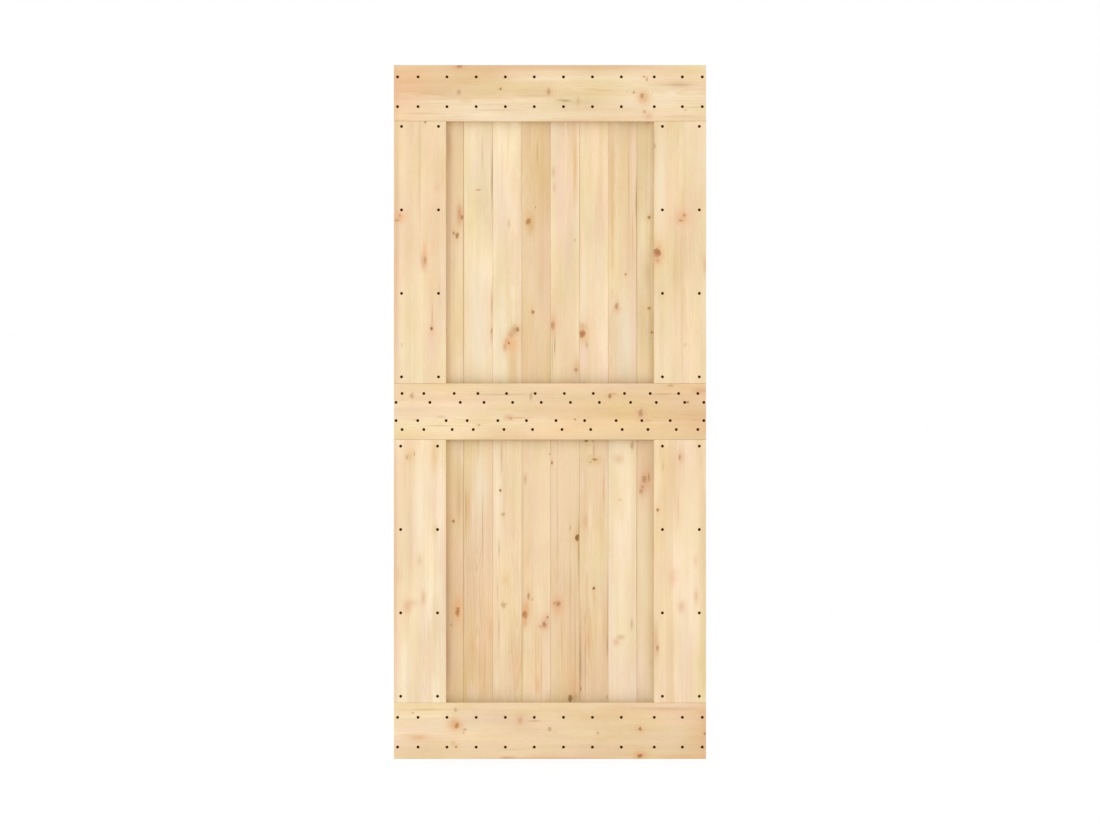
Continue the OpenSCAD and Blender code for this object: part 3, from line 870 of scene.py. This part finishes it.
def make_mark():
    """Paints one soft streak or patch over a colour."""
    tree, s, given, out = new_group(
        "mark",
        {"vector": "Place", "colour": "Colour, Tone",
         "value": "Across, Along, Half Width, Half Length, Strength"},
        {"colour": "Colour"},
    )
    across, along, _ = s.split(given["Place"])
    wobble = s.swing(s.noise_of("mark_edge", given["Place"])[0], MARK_WOBBLE)
    off_across = s.over(s.less(across, given["Across"]), given["Half Width"])
    off_along = s.over(s.less(along, given["Along"]), given["Half Length"])
    off = s.add(s.square(s.add(off_across, wobble)), s.square(off_along))
    share = s.times(s.fade(off, MARK_FADE), given["Strength"])
    s.feed(out["Colour"], s.mix(share, given["Colour"], given["Tone"]))
    return tree


def make_rings():
    """Dark late wood of the growth rings about a wandering pith, from 0 to 1."""
    tree, s, given, out = new_group(
        "rings",
        {"vector": "Place, Seeded", "value": LOG_SOCKETS},
        {"value": "Late"},
    )
    across, along, depth = s.split(given["Place"])
    seed = given["Seed"]
    wander = s.split(s.noise(s.join(seed, s.times(along, PITH_TURNS), seed), detail=2.0)[1])
    pith_across = s.add(given["Pith Across"], s.times(given["Drift Across"], along))
    pith_depth = s.add(given["Pith Depth"], s.times(given["Drift Depth"], along))
    from_across = s.add(s.less(across, pith_across), s.swing(wander[0], PITH_WANDER))
    from_depth = s.add(s.less(depth, pith_depth), s.swing(wander[1], PITH_WANDER))
    radius = s.math("SQRT", s.add(s.square(from_across), s.square(from_depth)))
    waves = s.swing(s.noise_of("ring_waves", given["Seeded"])[0], RING_WAVES)
    count = s.over(s.less(s.add(radius, waves), given["Push"]), given["Ring"])
    uneven = s.noise(s.join(s.times(count, UNEVEN_FOR_EACH_RING), seed, seed), detail=1.0)[0]
    count = s.add(count, s.times(uneven, UNEVEN_RINGS))
    share = s.math("FRACT", count)
    each = s.node("ShaderNodeTexWhiteNoise", noise_dimensions="1D")
    s.feed(each.inputs["W"], s.add(s.math("FLOOR", count), seed))
    dark = s.times(s.step(share, *RING_DARKENS), s.step(share, *RING_ENDS, 1.0, 0.0))
    s.feed(out["Late"], s.times(dark, s.line(each.outputs["Value"], FAINTEST_RING, 1.0)))
    return tree


def make_pine(rings):
    """Clear pine: rings, bands, drifting tone, fibres and resin canals."""
    tree, s, given, out = new_group(
        "pine",
        {"vector": "Place", "colour": "Low Tone, High Tone, Band Tone, Late Tone",
         "value": "Length, Contrast, Bands, " + LOG_SOCKETS},
        {"colour": "Colour", "value": "Height, Late"},
    )
    along = s.split(given["Place"])[1]
    seed = given["Seed"]
    shift = s.join(seed, s.times(seed, SEED_STEP_ALONG), seed)
    seeded = s.vector_math("ADD", given["Place"], shift)
    log = {name: given[name] for name in LOG_SOCKETS.split(", ")}
    late = s.group(rings, Place=given["Place"], Seeded=seeded, **log)["Late"]

    wash = s.noise_of("wash", seeded)[0]
    half = s.times(given["Length"], 0.5)
    fade = s.step(s.add(along, s.swing(wash, FADE_WANDER)), s.times(half, -1.0), half)
    base = s.mix(fade, given["Low Tone"], given["High Tone"])
    band = s.step(s.noise_of("band", seeded)[0], *BAND_AT)
    base = s.mix(s.times(band, given["Bands"]), base, given["Band Tone"])
    for tone, kind in WASHES.items():
        base = s.mix(s.times(s.step(wash, *kind.at), kind.strength), base, linear(tone))
    base = s.mix(s.times(late, given["Contrast"]), base, given["Late Tone"])

    tint = s.split(s.noise_of("tint", seeded)[1])
    canal = s.step(s.noise_of("canal", seeded)[0], *CANAL_AT)
    noises = {name: s.noise_of(name, seeded)[0] for name in GRAIN}
    grain = s.less(s.swing(tint[2], TINT_GRAIN), s.times(canal, CANAL_DARKENS))
    for name, size in GRAIN.items():
        grain = s.add(grain, s.swing(noises[name], size))
    warm = s.vector_math("MULTIPLY", s.join(grain, grain, grain), GRAIN_RGB)
    pink = s.swing(tint[0], PINK_SWING)
    red, green, blue = (s.times(pink, share) for share in PINK_RGB)
    hue = s.join(red, green, s.less(blue, s.swing(tint[1], GOLD_SWING)))
    change = s.vector_math("ADD", s.vector_math("ADD", warm, hue), (1, 1, 1))
    relief = s.less(s.times(late, LATE_RISE), s.times(canal, CANAL_SINK))
    s.feed(out["Colour"], s.vector_math("MULTIPLY", base, change))
    s.feed(out["Height"], s.add(s.times(noises["fibre"], FIBRE_RISE), relief))
    s.feed(out["Late"], late)
    return tree


def make_surface():
    """Painted shade on the arrises along the seams, sawn ends and roughness, from the way a surface
    faces.
    """
    tree, s, given, out = new_group(
        "surface",
        {"vector": "Place", "colour": "Colour",
         "value": "Late, Face Across, Face Along, Face Depth, Seam Dust"},
        {"colour": "Colour", "value": "Roughness"},
    )
    sloped = s.times(s.math("ABSOLUTE", given["Face Across"]), s.math("ABSOLUTE", given["Face Depth"]))
    arris = s.step(sloped, *ARRIS_AT)
    sawn = s.step(s.math("ABSOLUTE", given["Face Along"]), *SAWN_AT)
    wear = s.noise_of("wear", given["Place"])[0]
    # Painted shade on the arrises along the seams, patchy by the wear
    seam_shaded = s.times(s.times(arris, s.step(wear, *SEAM_SHADE_BY_WEAR)), given["Seam Dust"])
    colour = s.mix(seam_shaded, given["Colour"], linear("dust"))
    ringed = s.mix(s.line(given["Late"], *END_GRAIN_BY_LATE), colour, linear("end_grain"))
    planed = s.less(s.step(wear, *ROUGHNESS_BY_WEAR), s.times(given["Late"], LATE_SMOOTHER))
    s.feed(out["Colour"], s.mix(sawn, colour, ringed))
    s.feed(out["Roughness"], s.add(planed, s.times(sawn, SAWN_ROUGHER)))
    return tree


def make_painted_shade():
    """Share of painted shade on the boards' front, strongest along the frame's inner edges, where the
    recesses are shaded.
    """
    tree, s, given, out = new_group(
        "painted_shade",
        {"vector": "Place", "value": "Low X, High X, Low Z, High Z, Face Depth"},
        {"value": "Share"},
    )
    x, _, z = s.split(given["Place"])
    shaded = 0.0
    for edge, lies in {"Low X": x, "High X": x, "Low Z": z, "High Z": z}.items():
        off = s.math("ABSOLUTE", s.less(lies, given[edge]))
        from_edge = s.times(s.fade(off, PAINTED_SHADE_AT[edge].fade), PAINTED_SHADE_AT[edge].strength)
        shaded = s.math("MAXIMUM", shaded, from_edge)
    front = s.step(given["Face Depth"], *FRONT_AT, 1.0, 0.0)
    patchy = s.line(s.noise_of("painted_shade", given["Place"])[0], *PAINTED_SHADE_BY_PATCH)
    s.feed(out["Share"], s.times(s.times(shaded, front), patchy))
    return tree


knot_field = make_knot_field()
knot_paint = make_knot_paint()
mark_paint = make_mark()
pine = make_pine(make_rings())
surface = make_surface()
painted_shade = make_painted_shade()

# Where things lie on the leaf

RAILS = ["top_rail", "middle_rail", "bottom_rail"]
STILES = [f"{tier}_{side}_stile" for tier in ("upper", "lower") for side in ("left", "right")]
SCREW_SETS = [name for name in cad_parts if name.endswith("_screws")]
BOARDS = sorted(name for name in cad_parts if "_board_" in name)
EDGE_MARGIN = 0.001
boxes = {name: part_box(name) for name in RAILS + STILES + BOARDS}


def leaf_place(x_px, y_px, depth=0.0):
    """Place in metres of a pixel of the photograph, at a depth behind the leaf's front."""
    reach = pixel * (1 + depth / CAMERA_DISTANCE)
    return (x_px - LEAF_MIDDLE_X_PX) * reach, leaf_mid_z - (y_px - LEAF_MIDDLE_Y_PX) * reach


def piece_at(x, z):
    """Name of the piece that shows at a place on the front."""
    def holds(name):
        low, high = boxes[name]
        return low.x <= x <= high.x and low.z <= z <= high.z

    in_frame = [name for name in RAILS + STILES if holds(name)]
    if in_frame:
        return in_frame[0]
    return max((name for name in BOARDS if holds(name)), key=lambda name: boxes[name][0].x)


def piece_lay(name):
    """Middle of a piece, its length and width, and whether its grain runs level."""
    low, high = boxes[name]
    level = name in RAILS
    size = high - low
    length, width = (size.x, size.z) if level else (size.z, size.x)
    return (low + high) / 2, length, width, level


def on_piece(name, x, z, half_x, half_z):
    """A patch of the leaf in its piece's own across and along."""
    middle, _, _, level = piece_lay(name)
    if level:
        return z - middle.z, x - middle.x, half_z, half_x
    return x - middle.x, z - middle.z, half_x, half_z


def sort_patches(patches):
    """Patches by the piece that they lie on, each as (across, along, half width, half length, patch)."""
    found = {}
    for patch in patches:
        x, z = leaf_place(patch.x_px, patch.y_px)
        z = min(max(z, leaf_low.z + EDGE_MARGIN), leaf_high.z - EDGE_MARGIN)
        name = piece_at(x, z)
        # A pixel lands a little further out on the boards, which lie behind the frame's front
        x, z = leaf_place(patch.x_px, patch.y_px, boxes[name][0].y - leaf_low.y)
        placed = on_piece(name, x, z, patch.half_w_px * pixel, patch.half_h_px * pixel)
        found.setdefault(name, []).append((*placed, patch))
    return found


knots_on = sort_patches(KNOTS)
marks_on = sort_patches(MARKS)


def hidden_knots(name, draw):
    """Knots for the parts of a board that only the back shows."""
    middle, length, width, _ = piece_lay(name)
    found = []
    for step in range(int(length / HIDDEN_KNOT_SPACING)):
        along = (step + draw.random()) * HIDDEN_KNOT_SPACING - length / 2
        across = draw.uniform(-HIDDEN_KNOT_REACH, HIDDEN_KNOT_REACH) * width
        radius = draw.uniform(*HIDDEN_KNOT_RADIUS)
        stretch = draw.uniform(*HIDDEN_KNOT_STRETCH)
        kind = draw.choice(HIDDEN_KNOT_KINDS)
        shows = name in TONES_OF and piece_at(middle.x + across, middle.z + along) == name
        if not shows:
            found.append((across, along, radius, radius * stretch, Knot(0, 0, 0, 0, kind)))
    return found


def cut_log(name, draw):
    """The log that a piece is cut from, as the pine group's values."""
    low_tone, high_tone = TONES_OF.get(name) or [draw.choice(HIDDEN_TONES)] * 2
    return {
        "Low_Tone": linear(low_tone),
        "High_Tone": linear(high_tone),
        "Band_Tone": linear(draw.choice(BAND_TONES)),
        "Late_Tone": linear("late"),
        "Ring": draw.uniform(*RING_SPACING),
        "Pith_Across": draw.uniform(-PITH_ASIDE, PITH_ASIDE),
        "Pith_Depth": draw.choice([-1, 1]) * draw.uniform(*PITH_BEHIND),
        "Drift_Across": draw.uniform(-PITH_DRIFT, PITH_DRIFT),
        "Drift_Depth": draw.uniform(-PITH_DRIFT, PITH_DRIFT),
        "Contrast": FIGURES.get(name, draw.uniform(*RING_CONTRAST)),
        "Bands": draw.uniform(*BAND_STRENGTH),
        "Seed": draw.uniform(*LOG_SEEDS),
    }


def painted_shade_on(s, name, place, face_depth):
    """Share of painted shade on a board, from the frame's edges round it."""
    above, below = ("top_rail", "middle_rail") if "upper" in name else ("middle_rail", "bottom_rail")
    return s.group(
        painted_shade,
        Place=place,
        Low_X=boxes["upper_left_stile"][1].x,
        High_X=boxes["upper_right_stile"][0].x,
        Low_Z=boxes[below][1].z,
        High_Z=boxes[above][0].z,
        Face_Depth=face_depth,
    )["Share"]


def pine_material(name, draw):
    """Material of one wooden piece, cut from a log of its own."""
    material, s, principled = new_material(name + "_pine")
    middle, length, _, level = piece_lay(name)
    lay = s.node("ShaderNodeTexCoord").outputs
    offset = s.split(s.vector_math("SUBTRACT", lay["Object"], middle))
    facing = s.split(lay["Normal"])
    # Axes of the leaf that lie across, along and through the piece
    order = (2, 0, 1) if level else (0, 2, 1)
    place = s.join(*(offset[i] for i in order))
    face_across, face_along, face_depth = (facing[i] for i in order)

    knots = knots_on.get(name, [])
    if name in BOARDS:
        knots = knots + hidden_knots(name, draw)
    fields = []
    push = 0.0
    for across, along, half_width, half_length, knot in knots:
        field = s.group(knot_field, Place=place, Across=across, Along=along, Half_Width=half_width,
                        Half_Length=half_length, Seed=draw.uniform(*KNOT_SEEDS))
        fields.append((field, KNOT_KINDS[knot.kind]))
        push = s.add(push, field["Push"])

    clear = s.group(pine, Place=place, Push=push, Length=length, **cut_log(name, draw))
    colour = clear["Colour"]
    for across, along, half_width, half_length, mark in marks_on.get(name, []):
        colour = s.group(mark_paint, Colour=colour, Place=place, Across=across, Along=along,
                         Half_Width=half_width, Half_Length=half_length, Tone=linear(mark.tone),
                         Strength=min(1.0, mark.strength * MARK_GAIN))["Colour"]
    for field, kind in fields:
        colour = s.group(knot_paint, Colour=colour, Rho=field["Rho"], Halo=field["Halo"],
                         Mottle=field["Mottle"], Heart_Tone=linear(kind.heart),
                         Rim_Tone=linear(kind.rim), Halo_Tone=linear(kind.halo),
                         Strength=kind.strength, Halo_Strength=kind.halo_strength,
                         Softness=kind.softness)["Colour"]
    if name in BOARDS:
        # Painted shade on the boards along the frame's inner edges
        colour = s.mix(painted_shade_on(s, name, lay["Object"], face_depth), colour, linear("painted_shade"))
    # The frame's arrises get painted shade along the seams, the boards none
    worn = s.group(surface, Colour=colour, Late=clear["Late"], Face_Across=face_across,
                   Face_Along=face_along, Face_Depth=face_depth, Place=place,
                   Seam_Dust=0.0 if name in BOARDS else SEAM_SHADE)
    s.feed_all(principled, {
        "Base Color": worn["Colour"],
        "Roughness": worn["Roughness"],
        "Normal": s.bump(clear["Height"], WOOD_BUMP),
        "Specular IOR Level": WOOD_SPECULAR,
    })
    return material


def screw_material():
    """Dark bronze coating on steel, rubbed brighter in spots."""
    material, s, principled = new_material("dark_bronze")
    place = s.node("ShaderNodeTexCoord").outputs["Object"]
    rubbing = s.noise_of("rubbing", place)[0]
    coating = s.step(s.noise_of("coating", place)[0], *COATING_AT)
    rubbed = s.times(s.step(rubbing, *RUBBED_AT), RUBBED_STRENGTH)
    s.feed_all(principled, {
        "Base Color": s.mix(rubbed, s.mix(coating, BRONZE_DARK, BRONZE), BRONZE_RUBBED),
        "Roughness": s.step(rubbing, *SCREW_ROUGHNESS),
        "Normal": s.bump(rubbing, SCREW_BUMP),
        "Metallic": SCREW_METALLIC,
        "Specular IOR Level": 0.0,
    })
    return material


def paint(name, material):
    """Gives a CAD node its material."""
    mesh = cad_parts[name].data
    mesh.materials.clear()
    mesh.materials.append(material)


FIRST_SEED = 7000
for number, name in enumerate(RAILS + STILES + BOARDS):
    paint(name, pine_material(name, random.Random(FIRST_SEED + number)))
bronze = screw_material()
for name in SCREW_SETS:
    paint(name, bronze)


def seen_ray(shade):
    """1 for the rays that see the ground directly, in a gloss or through glass."""
    path = shade.node("ShaderNodeLightPath")
    kinds = ("Is Camera Ray", "Is Glossy Ray", "Is Transmission Ray")
    camera, glossy, through = (path.outputs[kind] for kind in kinds)
    return shade.math("MAXIMUM", shade.math("MAXIMUM", camera, glossy), through)


def make_world():
    """White ground to look at, and an even light from all round."""
    world = bpy.data.worlds.new("white_ground")
    bpy.context.scene.world = world
    world.use_nodes = True
    s = Shade(world.node_tree)
    background = world.node_tree.nodes["Background"]
    s.feed_all(background, {"Color": WHITE, "Strength": s.line(seen_ray(s), AMBIENT, 1.0)})


def make_floor():
    """White floor that keeps a faint shadow."""
    bpy.ops.mesh.primitive_plane_add(size=FLOOR_SIZE, location=(0, 0, leaf_low.z - FLOOR_GAP))
    floor = bpy.context.object
    floor.name = "floor"
    material, s, principled = new_material("white_floor")
    seen = seen_ray(s)
    s.feed_all(principled, {
        "Base Color": s.mix(seen, FLOOR_LIT, FLOOR_SEEN),
        "Roughness": FLOOR_ROUGHNESS,
        "Emission Color": WHITE,
        "Emission Strength": s.times(seen, FLOOR_GLOW),
        "Specular IOR Level": 0.0,
    })
    floor.data.materials.append(material)


def make_key_light():
    """Large soft light from the upper left."""
    data = bpy.data.lights.new("key", "AREA")
    data.shape = "SQUARE"
    data.size = KEY_SIZE
    data.energy = KEY_POWER
    key = bpy.data.objects.new("key", data)
    key.location = KEY_PLACE
    target = Vector((0, 0, leaf_mid_z))
    key.rotation_euler = (target - key.location).to_track_quat("-Z", "Y").to_euler()
    bpy.context.scene.collection.objects.link(key)


def make_camera():
    """Long lens, square on to the middle of the leaf."""
    data = bpy.data.cameras.new("camera")
    data.sensor_width = SENSOR_W
    data.lens = SENSOR_W * CAMERA_DISTANCE / (IMAGE_W_PX * pixel)
    data.clip_end = FARTHEST_SEEN
    camera = bpy.data.objects.new("camera", data)
    camera.location = (0, leaf_low.y - CAMERA_DISTANCE, leaf_mid_z)
    camera.rotation_euler = (math.radians(90), 0, 0)
    bpy.context.scene.collection.objects.link(camera)
    bpy.context.scene.camera = camera


make_world()
make_floor()
make_key_light()
make_camera()
bpy.context.scene.view_settings.view_transform = "Standard"
